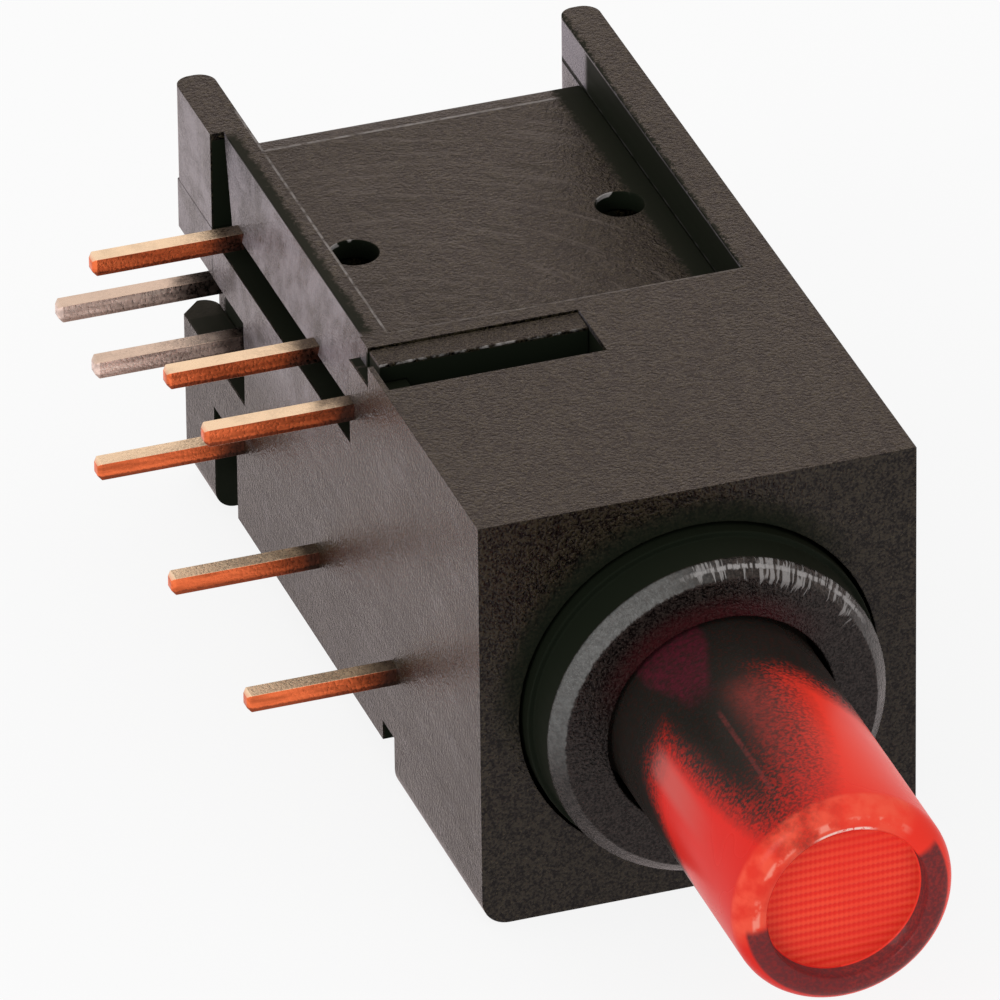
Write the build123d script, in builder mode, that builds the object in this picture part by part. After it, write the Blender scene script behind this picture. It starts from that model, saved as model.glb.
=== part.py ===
from build123d import *
from math import cos, pi, sin
import os

os.makedirs("parts", exist_ok=True)

# Illuminated pushbutton switch for a circuit board, lying on its side.
# Lengths are in mm. In the names below, x runs from the board face into the body,
# y from the front face towards the back, and z up from the surface it lies on.

# Body
body_w = 9.66
body_h = 9.7
body_l = 20.15
wall = 0.87
axis_x = body_w / 2
axis_z = body_h / 2
seat_gap = 0.02
running_gap = 0.1
past = 1.0

# Pins, on a 2.54 mm grid
pitch = 2.54
pin_t = 0.4
pin_out = 3.3
pin_chamfer = 0.08
first_pin_y = 5.66
lower_row_drop = 1.85
lower_row_z = axis_z - lower_row_drop
middle_row_z = lower_row_z + pitch
upper_row_z = middle_row_z + pitch
shank_t = 0.2
pad_t = 0.25
pad_h = 0.7
pad_room = 0.08
front_pad_end = 9.2
common_pad = (10.1, 11.6)
rear_pad_start = 12.4

# Button
lens_r = 2.4
lens_tip = -9.05
lens_rear = 2.2
lens_bore_r = 1.65
lens_bore_tip = -3.0
lens_flange_r = 2.68
lens_flange = (0.22, 0.88)
lens_edge_r = 0.5
lens_fit = 0.04
disc_r = 1.75
disc_sunk = 0.12
collar_front = -1.45
collar_step = -0.25
collar_rear = 2.2
bore_wall = 0.85
bore_r = axis_x - bore_wall
collar_flange_r = bore_r - running_gap
collar_set_in = 0.14
collar_r = collar_flange_r - collar_set_in
collar_mouth_r = 2.52
collar_chamfer = 0.3
sleeve_r = 2.95
sleeve_front = 0.2

# Housing
bore_depth = 4.5
lip_rear = 5.2
block_rear = 5.67
belly_z = 0.9
floor_z = 1.55
roof_t = 0.95
roof_z = body_h - roof_t
foot_l = 2.45
foot_front = body_l - foot_l
foot_z = 0.25
block_corner_r = 0.6
foot_corner_r = 0.45
wall_end_r = 0.38
recess_front = 8.27
groove_front = 8.31
groove_below = 0.93
groove_above = 0.02
groove_z = (upper_row_z - groove_below, upper_row_z - groove_above)
groove_depth = 0.62
flap_top_inset = 0.32
flap_low_inset = 0.05
rear_pad_l = 2.58
pad_front = body_l - rear_pad_l
pad_seam_drop = 0.7
pad_seam_z = upper_row_z - pad_seam_drop
relief_l = 0.82
relief_front = pad_front - relief_l
relief_low_l = 1.3
lower_relief_l = 1.56
lower_relief_front = foot_front - lower_relief_l
lower_relief_top = 2.85
lower_relief_depth = 0.6
notch_rear = 6.43
notch_top = 1.37
notch_depth = 0.25
opening_l = 4.65
opening_front = body_l - opening_l
opening_below = 1.47
opening_above = 0.6
ledge_chamfer = 0.45
opening_z = (middle_row_z - opening_below, middle_row_z + opening_above)
window_y = (6.0, 7.8)
window_past_axis = 0.12
window_right = axis_x + window_past_axis
window_skin = 0.12
window_ledge_depth = 0.5
window_ledge_z = body_h - window_ledge_depth
step_right = 0.25

# Contact carrier
recess_drop = 0.05
recess_z = roof_z - recess_drop
plate_t = 0.45
plate_edge_l = 0.46
plate_edge_drop = 0.05
slider_rear = 11.6
slider_room = 2.3
carrier_front = slider_rear + slider_room
carrier_end_l = 0.2
carrier_rear = body_l - carrier_end_l
carrier_step_l = 1.33
plate_rear = carrier_rear - carrier_step_l
carrier_step_h = 1.0
carrier_step_z = recess_z - carrier_step_h
post_front = 5.0
post_r = 1.9
spring_seat_y = 11.0
spring_seat_r = 2.55
hole_r = 0.535
hole_y = 13.35
hole_inset = 1.82
hole_spacing = body_w - 2 * hole_inset
nose_front = 7.1
nose_sunk = 0.04
nose_top = body_h - nose_sunk
nose_left = 0.28
nose_gap = 0.05
root_x = wall + 0.5

# Slider
contact_room = 0.73
slider_left = wall + contact_room
slider_corner_r = 0.4
rib_h = 2.1
shoulder_y = 4.5
shoulder_bore_r = 2.0
spring_bore_r = 2.75
slot_l = 3.4
slot_room = 0.1
pocket_depth = 0.75
pocket_room = 0.06

# Coils, given as flat-sided runs of wire
runs_per_turn = 14
wire_sides = 8

# Contact bridges and their springs
bridge_y = 9.75
bridge_reach = 1.1
bridge_t = 0.12
bridge_h = 0.5
bridge_gap = 0.05
bridge_drop = 0.45
upper_bridge_z = recess_z - plate_t - bridge_drop
lower_bridge_z = lower_row_z
hump_half = 0.5
hump_bend_r = 0.15
contact_spring_r = 0.3
contact_wire_r = 0.06
contact_turns = 4

# Return spring
spring_r = 2.3
spring_wire_r = 0.17
spring_turns = 7

# Light-emitting diode
led_r = 1.45
led_tip = 0.25
led_flange_r = 1.75
led_flange_y = (4.3, 5.0)
lead_spacing = 2.54
lead_turn_y = (4.35, 4.75)
post_tip_y = 2.8
post_spacing = 0.9
chip_size = 0.3

# The part's origin is the middle of its outline, on the surface that it lies on.
x_off = -(body_w - pin_out) / 2
y_off = -(body_l + lens_tip) / 2


def plan(z):
    """Horizontal plane: sketch x and y are the body's x and y."""
    return Plane(origin=(x_off, y_off, z), x_dir=(1, 0, 0), z_dir=(0, 0, 1))


def front(y):
    """Plane across the button's axis, facing forwards: sketch x and y are x and z."""
    return Plane(origin=(x_off, y_off + y, 0), x_dir=(1, 0, 0), z_dir=(0, -1, 0))


def side(x):
    """Plane along the body, facing +x: sketch x and y are y and z."""
    return Plane(origin=(x_off + x, y_off, 0), x_dir=(0, 1, 0), z_dir=(1, 0, 0))


def lengthwise():
    """Plane through the button's axis for turned profiles: sketch x is the radius, y is y."""
    return Plane(origin=(x_off + axis_x, y_off, axis_z), x_dir=(1, 0, 0), z_dir=(0, 0, 1))


button_axis = Axis((x_off + axis_x, y_off, axis_z), (0, 1, 0))


def block(x_range, y_range, z_range, mode=Mode.ADD):
    """A straight-sided block between limits, joined to or cut from the part being built."""
    ranges = (x_range, y_range, z_range)
    offsets = (x_off, y_off, 0)
    middle = [(r[0] + r[1]) / 2 + o for r, o in zip(ranges, offsets)]
    with Locations(tuple(middle)):
        Box(*[r[1] - r[0] for r in ranges], mode=mode)


def bar(radius, start, end, mode=Mode.ADD):
    """A round bar or bore on the button's axis, between two places along it."""
    with BuildSketch(front(start)) as disc:
        with Locations((axis_x, axis_z)):
            Circle(radius)
    extrude(disc.sketch, amount=start - end, mode=mode)


def centred(middle, size):
    """Limits of a length laid evenly about a middle."""
    return (middle - size / 2, middle + size / 2)


def write(piece, name):
    piece.part.label = name
    export_step(piece.part, f"parts/{name}.step")


def make_terminal(name, pin_y, pin_z, pad_y):
    """A pin through the wall, bent from a shank in it that ends in a flat contact pad inside."""
    pad_z = centred(lower_bridge_z if pin_z < axis_z else upper_bridge_z, pad_h)
    pin_span = centred(pin_z, pin_t)
    shank_z = (min(pin_span[0], pad_z[0]), max(pin_span[1], pad_z[1]))
    with BuildPart() as terminal:
        block((-pin_out, wall), centred(pin_y, pin_t), pin_span)
        chamfer(terminal.faces().sort_by(Axis.X)[0].edges(), pin_chamfer)
        block((wall - shank_t, wall), centred(pin_y, pin_t), shank_z)
        block((wall, wall + pad_t), pad_y, pad_z)
    write(terminal, name)
    return terminal


pin_y = [first_pin_y + pitch * i for i in range(6)]
pin_half = pin_t / 2
rear_pad = (rear_pad_start, pin_y[4] + pin_half)
terminals = [
    make_terminal("upper_terminal_front", pin_y[1], upper_row_z, (pin_y[1] - pin_half, front_pad_end)),
    make_terminal("upper_terminal_common", pin_y[2], upper_row_z, common_pad),
    make_terminal("upper_terminal_rear", pin_y[4], upper_row_z, rear_pad),
    make_terminal("lower_terminal_front", pin_y[0], lower_row_z, (pin_y[0] - pin_half, front_pad_end)),
    make_terminal("lower_terminal_common", pin_y[2], lower_row_z, common_pad),
    make_terminal("lower_terminal_rear", pin_y[4], lower_row_z, rear_pad),
]


def make_lead(name, direction, exit_y):
    """A diode lead: a frame post in the diode, a run back through the carrier, and a pin out."""
    lead_x = axis_x + direction * lead_spacing / 2
    post_x = axis_x + direction * post_spacing / 2
    turn_x = sorted((lead_x + direction * pin_half, post_x - direction * pin_half))
    with BuildPart() as lead:
        block(centred(post_x, pin_t), (post_tip_y, lead_turn_y[1]), centred(axis_z, pin_t))
        block(turn_x, lead_turn_y, centred(axis_z, pin_t))
        block(centred(lead_x, pin_t), (lead_turn_y[0], exit_y + pin_half), centred(axis_z, pin_t))
        drop_z = (axis_z - pin_half, middle_row_z + pin_half)
        block(centred(lead_x, pin_t), centred(exit_y, pin_t), drop_z)
        block((-pin_out, lead_x), centred(exit_y, pin_t), centred(middle_row_z, pin_t))
        chamfer(lead.faces().sort_by(Axis.X)[0].edges(), pin_chamfer)
    write(lead, name)
    return lead


led_leads = [
    make_lead("led_lead_cathode", -1, pin_y[4]),
    make_lead("led_lead_anode", 1, pin_y[5]),
]

# Housing: one moulding with the front block, the side walls, the feet and the rear pads
with BuildPart() as housing:
    with BuildSketch(side(0)):
        with BuildLine():
            Polyline(
                (0, 0),
                (block_rear, 0),
                (block_rear, belly_z),
                (foot_front, belly_z),
                (foot_front, foot_z),
                (body_l, foot_z),
                (body_l, body_h),
                (0, body_h),
                close=True,
            )
        make_face()
    extrude(amount=body_w)
    block_edges = housing.edges().filter_by(Axis.Y).group_by(Axis.Z)[0]
    fillet(block_edges, radius=block_corner_r)
    foot_edges = housing.edges().filter_by(Axis.Y).filter_by(
        lambda e: abs(e.center().Z - foot_z) < seat_gap
    )
    fillet(foot_edges, radius=foot_corner_r)
    with BuildSketch(side(wall)):
        with BuildLine():
            Polyline(
                (lip_rear, floor_z),
                (body_l + past, floor_z),
                (body_l + past, body_h + past),
                (recess_front, body_h + past),
                (recess_front, roof_z),
                (lip_rear, roof_z),
                close=True,
            )
        make_face()
    extrude(amount=body_w - 2 * wall, mode=Mode.SUBTRACT)
    wall_ends = housing.edges().filter_by(Axis.Z).group_by(Axis.Y)[-1]
    fillet(wall_ends, radius=wall_end_r)
    bar(bore_r, 0, bore_depth, Mode.SUBTRACT)
    bar(sleeve_r + running_gap, 0, lip_rear, Mode.SUBTRACT)
    # The wall beside the recess leans in towards its top edge
    with BuildSketch(front(pad_front)):
        with BuildLine():
            Polyline(
                (-past, groove_z[1]),
                (flap_low_inset, groove_z[1]),
                (flap_top_inset, body_h),
                (flap_top_inset, body_h + past),
                (-past, body_h + past),
                close=True,
            )
        make_face()
    extrude(amount=pad_front - groove_front, mode=Mode.SUBTRACT)
    # Groove of the upper pins, reliefs before the rear pads, and the notch at the front foot
    block((-past, groove_depth), (groove_front, pad_front), groove_z, Mode.SUBTRACT)
    with BuildSketch(side(-past)):
        with BuildLine():
            Polyline(
                (pad_front, groove_z[0]),
                (pad_front, body_h),
                (pad_front - relief_low_l, groove_z[1]),
                (relief_front, groove_z[0]),
                close=True,
            )
        make_face()
    extrude(amount=past + groove_depth, mode=Mode.SUBTRACT)
    lower_relief_y = (lower_relief_front, foot_front)
    block((-past, lower_relief_depth), lower_relief_y, (0, lower_relief_top), Mode.SUBTRACT)
    block((-past, notch_depth), (block_rear, notch_rear), (0, notch_top), Mode.SUBTRACT)
    # Opening for the diode leads, and the seat of the carrier's rear key
    block((-past, wall), (opening_front, body_l + past), opening_z, Mode.SUBTRACT)
    seat_z = (opening_z[0], pad_seam_z)
    block((-past, wall), (pad_front, body_l + past), seat_z, Mode.SUBTRACT)
    # Bevelled rear corners of the two side walls, up to the ledge under that opening
    with BuildSketch(plan(0)):
        for corner_x, inwards in ((0, ledge_chamfer), (body_w, -ledge_chamfer)):
            with BuildLine():
                Polyline(
                    (corner_x, body_l),
                    (corner_x + inwards, body_l),
                    (corner_x, body_l - ledge_chamfer),
                    close=True,
                )
            make_face()
    extrude(amount=opening_z[0], mode=Mode.SUBTRACT)
    # Latch window in the roof, shallow over the side wall, and the step beside its rear half
    block((wall, window_right), window_y, (roof_z - past, body_h + past), Mode.SUBTRACT)
    ledge_z = (window_ledge_z, body_h + past)
    block((window_skin, window_right), window_y, ledge_z, Mode.SUBTRACT)
    block((-past, step_right), (nose_front - nose_gap, groove_front), ledge_z, Mode.SUBTRACT)
    for pin in terminals + led_leads:
        add(pin.part, mode=Mode.SUBTRACT)
write(housing, "housing")

# Contact carrier: the insert whose top is the sunk floor, with the post for diode and spring
with BuildPart() as contact_carrier:
    with BuildSketch(side(wall + seat_gap)):
        with BuildLine():
            Polyline(
                (carrier_front, floor_z + seat_gap),
                (carrier_rear, floor_z + seat_gap),
                (carrier_rear, carrier_step_z),
                (plate_rear, carrier_step_z),
                (plate_rear, recess_z),
                (nose_front, recess_z),
                (nose_front, recess_z - plate_t),
                (carrier_front, recess_z - plate_t),
                close=True,
            )
        make_face()
    extrude(amount=body_w - 2 * (wall + seat_gap))
    recess_floor = contact_carrier.faces().sort_by(Axis.Z)[-1]
    rear_edge = recess_floor.edges().sort_by(Axis.Y)[-1]
    chamfer(rear_edge, length=plate_edge_l, length2=plate_edge_drop, reference=recess_floor)
    bar(post_r, post_front, carrier_front)
    bar(spring_seat_r, spring_seat_y, carrier_front)
    # Latch nose in the window, with its arm over the side wall
    nose_y = (nose_front, window_y[1] - seat_gap)
    nose_x = (wall + seat_gap, window_right - seat_gap)
    block(nose_x, nose_y, (recess_z - plate_t, nose_top))
    block((nose_left, root_x), nose_y, (window_ledge_z + seat_gap, nose_top))
    # Rear key, flush with the side wall over the diode leads
    key_z = (opening_z[1], pad_seam_z - seat_gap)
    block((0, root_x), (pad_front + seat_gap, carrier_rear), key_z)
    # Two round holes in the floor, and hollows beside the rear contact pads
    with BuildSketch(plan(recess_z)):
        with GridLocations(hole_spacing, 0, 2, 1):
            with Locations((axis_x, hole_y)):
                Circle(hole_r)
    extrude(amount=-plate_t, mode=Mode.SUBTRACT)
    hollow_x = (wall, wall + pad_t + pad_room)
    for pad_z in (upper_bridge_z, lower_bridge_z):
        hollow_z = centred(pad_z, pad_h + pad_room)
        block(hollow_x, (carrier_front - past, rear_pad[1] + pad_room), hollow_z, Mode.SUBTRACT)
    for lead in led_leads:
        add(lead.part, mode=Mode.SUBTRACT)
write(contact_carrier, "contact_carrier")

# Diode body: domed capsule with a flange, moulded round the two leads and the chip
with BuildPart() as led_chip:
    chip_x = centred(axis_x - post_spacing / 2, chip_size)
    block(chip_x, (post_tip_y - chip_size, post_tip_y), centred(axis_z, chip_size))
write(led_chip, "led_chip")

with BuildPart() as led_body:
    with BuildSketch(lengthwise()):
        with BuildLine():
            l1 = Line((0, led_flange_y[1]), (led_flange_r, led_flange_y[1]))
            l2 = Line(l1 @ 1, (led_flange_r, led_flange_y[0]))
            l3 = Line(l2 @ 1, (led_r, led_flange_y[0]))
            l4 = Line(l3 @ 1, (led_r, led_tip + led_r))
            l5 = RadiusArc(l4 @ 1, (0, led_tip), led_r)
            Line(l5 @ 1, l1 @ 0)
        make_face()
    revolve(axis=button_axis)
    for lead in led_leads:
        add(lead.part, mode=Mode.SUBTRACT)
    add(led_chip.part, mode=Mode.SUBTRACT)
write(led_body, "led_body")

# Lens: clear red cap, turned outline, hollow at the back, sunk disc at the tip
with BuildPart() as lens:
    with BuildSketch(lengthwise()):
        with BuildLine():
            Polyline(
                (0, lens_tip + disc_sunk),
                (disc_r, lens_tip + disc_sunk),
                (disc_r + disc_sunk / 2, lens_tip),
                (lens_r - lens_edge_r, lens_tip),
            )
            CenterArc((lens_r - lens_edge_r, lens_tip + lens_edge_r), lens_edge_r, -90, 90)
            Polyline(
                (lens_r, lens_tip + lens_edge_r),
                (lens_r, lens_flange[0]),
                (lens_flange_r, lens_flange[0]),
                (lens_flange_r, lens_flange[1]),
                (lens_r, lens_flange[1]),
                (lens_r, lens_rear),
                (lens_bore_r, lens_rear),
                (lens_bore_r, lens_bore_tip + lens_bore_r),
            )
            CenterArc((0, lens_bore_tip + lens_bore_r), lens_bore_r, -90, 90)
            Line((0, lens_bore_tip), (0, lens_tip + disc_sunk))
        make_face()
    revolve(axis=button_axis)
write(lens, "lens")

# Collar: stepped ring round the lens that holds its flange and slides in the front bore
with BuildPart() as collar:
    with BuildSketch(lengthwise()):
        with BuildLine():
            Polyline(
                (collar_mouth_r, collar_front),
                (collar_r - collar_chamfer, collar_front),
                (collar_r, collar_front + collar_chamfer),
                (collar_r, collar_step),
                (collar_flange_r, collar_step),
                (collar_flange_r, collar_rear),
                (sleeve_r, collar_rear),
                (sleeve_r, sleeve_front),
                (collar_mouth_r, sleeve_front),
                close=True,
            )
        make_face()
    revolve(axis=button_axis)
write(collar, "collar")

# Slider: round sleeve through the housing's lip, and a square body that carries the bridges
slider_right = body_w - wall - running_gap
slider_z = (floor_z + running_gap, recess_z - plate_t - running_gap)
bridge_rows = {"upper": upper_bridge_z, "lower": lower_bridge_z}
rib_z = centred((upper_bridge_z + lower_bridge_z) / 2, rib_h)
with BuildPart() as slider:
    block((slider_left, slider_right), (lip_rear, slider_rear), slider_z)
    fillet(slider.edges().filter_by(Axis.Y).group_by(Axis.X)[-1], radius=slider_corner_r)
    block((wall + running_gap, slider_left), (lip_rear, slider_rear), rib_z)
    bar(sleeve_r, sleeve_front, lip_rear)
    bar(lens_flange_r + lens_fit, sleeve_front, lens_flange[1] + seat_gap, Mode.SUBTRACT)
    bar(lens_r + lens_fit, sleeve_front, lens_rear + seat_gap, Mode.SUBTRACT)
    bar(shoulder_bore_r, sleeve_front, slider_rear, Mode.SUBTRACT)
    bar(spring_bore_r, shoulder_y, slider_rear, Mode.SUBTRACT)
    for z in bridge_rows.values():
        slot_z = centred(z, bridge_h + slot_room)
        block((0, slider_left + slot_room), centred(bridge_y, slot_l), slot_z, Mode.SUBTRACT)
        with BuildSketch(side(slider_left)):
            with Locations((bridge_y, z)):
                Circle(contact_spring_r + contact_wire_r + pocket_room)
        extrude(amount=pocket_depth, mode=Mode.SUBTRACT)
write(slider, "slider")


def make_bridge(name, z):
    """A bowed strip with two contact humps that bridges two neighbouring pads."""
    peak_x = wall + pad_t + bridge_gap
    base_x = slider_left - bridge_t
    humps = (bridge_y - bridge_reach, bridge_y + bridge_reach)
    with BuildPart() as bridge:
        with BuildSketch(plan(z - bridge_h / 2)):
            with BuildLine():
                FilletPolyline(
                    (base_x, humps[0] - hump_half),
                    (peak_x, humps[0]),
                    (base_x, humps[0] + hump_half),
                    (base_x, humps[1] - hump_half),
                    (peak_x, humps[1]),
                    (base_x, humps[1] + hump_half),
                    radius=hump_bend_r,
                )
                offset(amount=bridge_t, side=Side.RIGHT)
            make_face()
        extrude(amount=bridge_h)
    write(bridge, name)


def make_coil(name, start, axis, length, mean_r, wire_r, turns):
    """An open coil spring laid from start along axis, its round wire given as flat-sided runs."""
    rise = length - 2 * wire_r
    base = Plane(origin=Vector(*start) + Vector(*axis) * wire_r, z_dir=axis)
    runs = turns * runs_per_turn
    points = []
    for i in range(runs + 1):
        angle = 2 * pi * i / runs_per_turn
        points.append(base.from_local_coords((mean_r * cos(angle), mean_r * sin(angle), rise * i / runs)))
    with BuildPart() as coil:
        with BuildLine() as centreline:
            Polyline(*points)
        with BuildSketch(Plane(origin=points[0], z_dir=centreline.line % 0)):
            RegularPolygon(wire_r, wire_sides)
        sweep(path=centreline.line, transition=Transition.RIGHT)
    write(coil, name)


for row, z in bridge_rows.items():
    make_bridge(f"{row}_contact_bridge", z)
    make_coil(
        f"{row}_contact_spring",
        (x_off + slider_left, y_off + bridge_y, z),
        (1, 0, 0),
        pocket_depth,
        contact_spring_r,
        contact_wire_r,
        contact_turns,
    )

make_coil(
    "return_spring",
    (x_off + axis_x, y_off + shoulder_y, axis_z),
    (0, 1, 0),
    spring_seat_y - shoulder_y,
    spring_r,
    spring_wire_r,
    spring_turns,
)
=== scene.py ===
import math

import bpy
from mathutils import Matrix, Vector


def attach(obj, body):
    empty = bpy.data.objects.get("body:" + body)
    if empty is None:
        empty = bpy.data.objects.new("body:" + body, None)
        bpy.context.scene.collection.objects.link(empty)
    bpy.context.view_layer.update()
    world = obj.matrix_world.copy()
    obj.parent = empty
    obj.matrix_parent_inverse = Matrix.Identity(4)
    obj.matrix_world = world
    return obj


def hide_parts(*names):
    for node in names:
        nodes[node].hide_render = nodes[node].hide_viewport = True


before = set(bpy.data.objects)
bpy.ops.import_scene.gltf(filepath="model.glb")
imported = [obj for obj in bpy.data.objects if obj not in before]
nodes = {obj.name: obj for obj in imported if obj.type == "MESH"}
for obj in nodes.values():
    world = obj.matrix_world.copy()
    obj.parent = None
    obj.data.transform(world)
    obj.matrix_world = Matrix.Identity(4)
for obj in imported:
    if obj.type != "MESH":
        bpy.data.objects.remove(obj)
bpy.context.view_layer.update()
scene = bpy.context.scene

MM = 0.001

# The body's front-left-bottom corner in the part's frame, and the button's axis from it
CORNER = Vector((-3.18, -5.55, 0.0)) * MM
AXIS_X = 4.83
AXIS_Z = 4.85


def at(x, y, z):
    """A place given in the body's own millimetres, as a point of the frame in metres."""
    return CORNER + Vector((x, y, z)) * MM


# Camera: the photograph's long lens, from the front and the left, looking down
camera_data = bpy.data.cameras.new("camera")
camera_data.lens = 626.64
camera_data.clip_start = 0.01
camera_data.clip_end = 20
camera = bpy.data.objects.new("camera", camera_data)
right = Vector((0.944526, -0.328278, -0.010191))
down = Vector((-0.176604, -0.481477, -0.858482))
forward = Vector((0.276914, 0.812658, -0.512743))
camera.matrix_world = Matrix.Translation(at(-98.956, -291.855, 194.455)) @ Matrix(
    (right, -down, -forward)
).transposed().to_4x4()
scene.collection.objects.link(camera)
scene.camera = camera
scene.view_settings.view_transform = "Standard"


class Nodes:
    """Short calls for building one node tree."""

    def __init__(self, tree):
        self.tree = tree
        tree.nodes.clear()

    def add(self, kind, settings=None, **inputs):
        node = self.tree.nodes.new(kind)
        for name, value in (settings or {}).items():
            setattr(node, name, value)
        for name, value in inputs.items():
            self.put(node, name.replace("_", " "), value)
        return node

    def put(self, node, name, value):
        socket = node.inputs[int(name[1:])] if name[0] == "#" else node.inputs[name]
        if isinstance(value, bpy.types.NodeSocket):
            self.tree.links.new(value, socket)
        else:
            socket.default_value = value

    def math(self, operation, a, b=0.0, c=0.0):
        node = self.tree.nodes.new("ShaderNodeMath")
        node.operation = operation
        for i, value in enumerate((a, b, c)):
            self.put(node, f"#{i}", value)
        return node.outputs[0]

    def ramp(self, value, low, high, out_low=0.0, out_high=1.0):
        node = self.add("ShaderNodeMapRange", {"interpolation_type": "SMOOTHSTEP"})
        for i, item in enumerate((value, low, high, out_low, out_high)):
            self.put(node, f"#{i}", item)
        return node.outputs[0]

    def mix(self, factor, a, b):
        node = self.add("ShaderNodeMix", {"data_type": "RGBA"})
        self.put(node, "#0", factor)
        self.put(node, "#6", a)
        self.put(node, "#7", b)
        return node.outputs[2]

    def noise(self, scale, detail=2.0, stretch=(1, 1, 1), roughness=0.5):
        """Noise in the object's own metres: scale is in spots per millimetre."""
        place = self.add("ShaderNodeTexCoord").outputs["Object"]
        mapping = self.add("ShaderNodeMapping", Vector=place, Scale=stretch)
        node = self.add(
            "ShaderNodeTexNoise",
            Vector=mapping.outputs[0],
            Scale=scale / MM,
            Detail=detail,
            Roughness=roughness,
        )
        return node.outputs["Fac"]

    def place(self):
        """The place on the body in its own millimetres, as three sockets."""
        point = self.add("ShaderNodeTexCoord").outputs["Object"]
        shifted = self.add("ShaderNodeVectorMath", {"operation": "SUBTRACT"})
        self.put(shifted, "#0", point)
        self.put(shifted, "#1", CORNER)
        scaled = self.add("ShaderNodeVectorMath", {"operation": "SCALE"})
        self.put(scaled, "#0", shifted.outputs[0])
        self.put(scaled, "Scale", 1 / MM)
        return self.add("ShaderNodeSeparateXYZ", Vector=scaled.outputs[0]).outputs

    def facing(self):
        """The surface's own direction, as three sockets."""
        normal = self.add("ShaderNodeNewGeometry").outputs["Normal"]
        return self.add("ShaderNodeSeparateXYZ", Vector=normal).outputs


def material(name):
    """A new material, and the nodes of its tree to build with."""
    made = bpy.data.materials.new(name)
    made.use_nodes = True
    return made, Nodes(made.node_tree)


def finish_surface(n, shader):
    """Send a shader to the output of its material."""
    out = n.add("ShaderNodeOutputMaterial")
    n.tree.links.new(shader.outputs[0], out.inputs["Surface"])


def tone(colour, factor):
    """The same colour, lighter or darker."""
    return (*[c * factor for c in colour], 1)


GRAIN_LIFT = 0.048 * MM


def grain_bump(n, fine, coarse, strength, under=None):
    """Fine moulded grain over slight waviness, as a bump."""
    height = n.math("ADD", n.math("MULTIPLY", fine, 0.9), n.math("MULTIPLY", coarse, 0.1))
    bump = n.add("ShaderNodeBump", Strength=strength, Distance=GRAIN_LIFT, Height=height)
    if under:
        n.put(bump, "Normal", under)
    return bump.outputs[0]


def polar(n, x, z, middle_x=AXIS_X, middle_z=AXIS_Z):
    """Distance and angle about a middle: millimetres, and degrees from +x, -90 to 270."""
    dx = n.math("SUBTRACT", x, middle_x)
    dz = n.math("SUBTRACT", z, middle_z)
    far = n.math("SQRT", n.math("ADD", n.math("MULTIPLY", dx, dx), n.math("MULTIPLY", dz, dz)))
    angle = n.math("DEGREES", n.math("ARCTAN2", dz, dx))
    return far, n.math("WRAP", angle, 270.0, -90.0)


def turned(n, angle, middle):
    """How far an angle is from a middle one, in degrees, across the turn-over at 180."""
    apart = n.math("SUBTRACT", angle, middle)
    return n.math("ABSOLUTE", n.math("WRAP", apart, 180.0, -180.0))


def near_turn(n, angle, middle, none, full):
    """Mask of a turn about a middle angle: none at one turn from it, full within another."""
    return n.ramp(turned(n, angle, middle), none, full)


# Masks run from 0 to 1. Each ramp below says where its mask is 0, and then where it is 1.
def both(n, *parts):
    """Product of several masks."""
    result = parts[0]
    for part in parts[1:]:
        result = n.math("MULTIPLY", result, part)
    return result


def either(n, *parts):
    """Largest of several masks."""
    result = parts[0]
    for part in parts[1:]:
        result = n.math("MAXIMUM", result, part)
    return result


def near(n, value, middle, none, full):
    """Mask of what is close to a middle value: none at one distance, full within another."""
    return n.ramp(n.math("ABSOLUTE", n.math("SUBTRACT", value, middle)), none, full)


def span(n, value, start, end):
    """Mask of a stretch, which rises between the start's two values and falls between the end's."""
    return both(n, n.ramp(value, start[0], start[1]), n.ramp(value, end[1], end[0]))


def swept_noise(n, first, second, detail):
    """Noise over two values that follow a curve, such as a distance and an angle."""
    swept = n.add("ShaderNodeCombineXYZ", X=first, Y=second)
    noise = n.add("ShaderNodeTexNoise", Vector=swept.outputs[0], Scale=1.0, Detail=detail)
    return noise.outputs["Fac"]


PLASTIC_IOR = 1.36
EDGE_ROUND = 0.035 * MM
BODY_TONE = 2.6
SPECK_TONE = 6.0
# Painted shade: colour and reflection tint of the places left black
BLACK_AND_SHADE_SKIN = (0.0075, 0.0105, 0.0065, 1)
BLACK_AND_SHADE_SHINE = (0.10, 0.12, 0.09, 1)
DULL_SHINE = (0.68, 0.68, 0.68, 1)
FULL_SHINE = (1, 1, 1, 1)


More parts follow.
